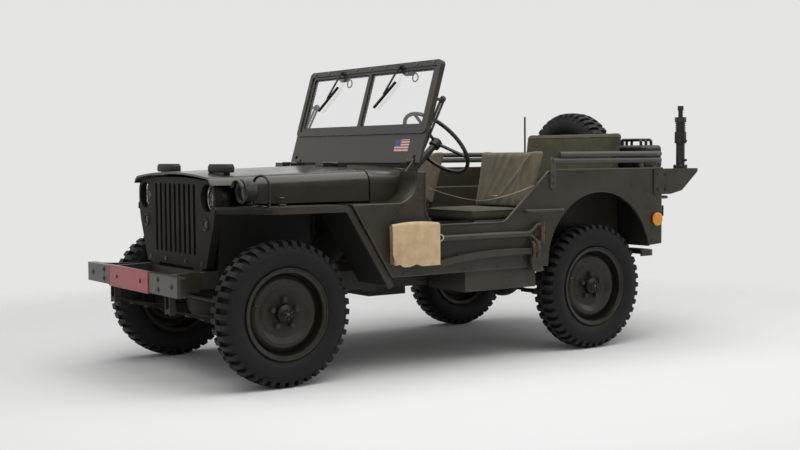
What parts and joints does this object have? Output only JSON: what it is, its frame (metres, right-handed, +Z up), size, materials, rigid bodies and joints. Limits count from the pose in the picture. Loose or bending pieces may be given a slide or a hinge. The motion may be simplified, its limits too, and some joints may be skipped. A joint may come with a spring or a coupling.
{
  "type": "army 4x4 car",
  "caption": "Open light army 4x4 car with slotted grille, flat fenders, folding windshield, canvas seats, tail-mounted spare wheel, fuel can and radio mast base.",
  "frame": {"origin": "on the ground under the middle of the overall length and width", "axes": "+X forward, +Y to the driver's left, +Z up"},
  "size_m": [3.35, 1.584, 1.6265],
  "materials": {
    "olive_paint": "matt olive paint, worn and dusty",
    "bare_steel": "dull machined steel",
    "cast_iron": "oily cast iron",
    "tyre": "worn black rubber",
    "canvas": "olive cotton canvas",
    "tan_canvas": "tan cotton canvas",
    "webbing": "woven cotton webbing",
    "clear_glass": "clear flat glass",
    "lamp_glass": "ribbed lamp glass",
    "black_paint": "worn black paint",
    "black_plastic": "black moulded grip",
    "reflector": "amber lens"
  },
  "bodies": {
    "chassis": {"frame": "olive_paint", "front_bumper": "olive_paint", "rear_bumperettes": "olive_paint", "floor": "olive_paint", "side_left": "olive_paint", "side_right": "olive_paint", "rear_panel": "olive_paint", "cowl": "olive_paint", "wheel_boxes": "olive_paint", "fenders": "olive_paint", "grille": "olive_paint", "fuel_tank": "olive_paint", "seat_frames": "olive_paint", "steering_column": "olive_paint", "top_bows": "olive_paint", "grab_handles": "olive_paint", "shovel": "olive_paint", "axe": "olive_paint", "jerrycan_carrier": "olive_paint", "spare_carrier": "olive_paint", "spare_wheel": "olive_paint", "antenna_bracket": "olive_paint", "power_unit": "cast_iron", "front_axle": "cast_iron", "rear_axle": "cast_iron", "leaf_springs": "cast_iron", "propeller_shafts": "cast_iron", "exhaust": "cast_iron", "radiator": "black_paint", "jerrycan": "black_paint", "rod_aerial": "black_paint", "mast_base": "black_paint", "control_levers": "black_plastic", "pedals": "black_plastic", "spare_tyre": "tyre", "seat_cushions": "canvas", "seat_backs": "canvas", "canvas_bag": "tan_canvas", "safety_strap": "webbing", "front_lamps": "lamp_glass", "rear_lamps": "reflector"},
    "hood": {"hood": "olive_paint"},
    "windshield": {"windshield_frame": "olive_paint", "windshield_glass": "clear_glass", "wipers": "black_paint"},
    "steering_wheel": {"steering_wheel": "black_plastic"},
    "knuckle_left": {"knuckle_left": "cast_iron"},
    "knuckle_right": {"knuckle_right": "cast_iron"},
    "tie_rod": {"tie_rod": "cast_iron"},
    "wheel_front_left": {"tyre_front_left": "tyre", "wheel_front_left": "olive_paint"},
    "wheel_front_right": {"tyre_front_right": "tyre", "wheel_front_right": "olive_paint"},
    "wheel_rear_left": {"tyre_rear_left": "tyre", "wheel_rear_left": "olive_paint"},
    "wheel_rear_right": {"tyre_rear_right": "tyre", "wheel_rear_right": "olive_paint"}
  },
  "joints": [
    {"name": "steer_left", "type": "hinge", "parent": "chassis", "child": "knuckle_left", "pos_m": [1.151, 0.53, 0.36], "axis": [0, 0, 1], "range_deg": [-26, 26]},
    {"name": "steer_right", "type": "hinge", "parent": "chassis", "child": "knuckle_right", "pos_m": [1.151, -0.53, 0.36], "axis": [0, 0, 1], "range_deg": [-26, 26]},
    {"name": "steering_wheel_turn", "type": "hinge", "parent": "chassis", "child": "steering_wheel", "pos_m": [0.02, 0.37, 1.188], "axis": [-0.7431, 0, 0.6691], "range_deg": [-312, 312]},
    {"name": "tie_rod_slide", "type": "slide", "parent": "chassis", "child": "tie_rod", "axis": [0, 1, 0], "range_m": [-0.0722, 0.0722]},
    {"name": "hood_hinge", "type": "hinge", "parent": "chassis", "child": "hood", "pos_m": [0.61, 0, 1.083], "axis": [0, -1, 0], "range_deg": [0, 120]},
    {"name": "windshield_fold", "type": "hinge", "parent": "chassis", "child": "windshield", "pos_m": [0.34, 0, 1.092], "axis": [0, -1, 0], "range_deg": [-103, 0]},
    {"name": "spin_front_left", "type": "hinge", "parent": "knuckle_left", "child": "wheel_front_left", "pos_m": [1.151, 0.622, 0.36], "axis": [0, 1, 0], "continuous": true},
    {"name": "spin_front_right", "type": "hinge", "parent": "knuckle_right", "child": "wheel_front_right", "pos_m": [1.151, -0.622, 0.36], "axis": [0, 1, 0], "continuous": true},
    {"name": "spin_rear_left", "type": "hinge", "parent": "chassis", "child": "wheel_rear_left", "pos_m": [-0.881, 0.622, 0.36], "axis": [0, 1, 0], "continuous": true},
    {"name": "spin_rear_right", "type": "hinge", "parent": "chassis", "child": "wheel_rear_right", "pos_m": [-0.881, -0.622, 0.36], "axis": [0, 1, 0], "continuous": true}
  ],
  "couplings": [
    {"joint": "steer_right", "follows": "steer_left", "ratio": 1},
    {"joint": "steering_wheel_turn", "follows": "steer_left", "ratio": 12},
    {"joint": "tie_rod_slide", "follows": "steer_left", "m_per_rad": 0.159}
  ]
}
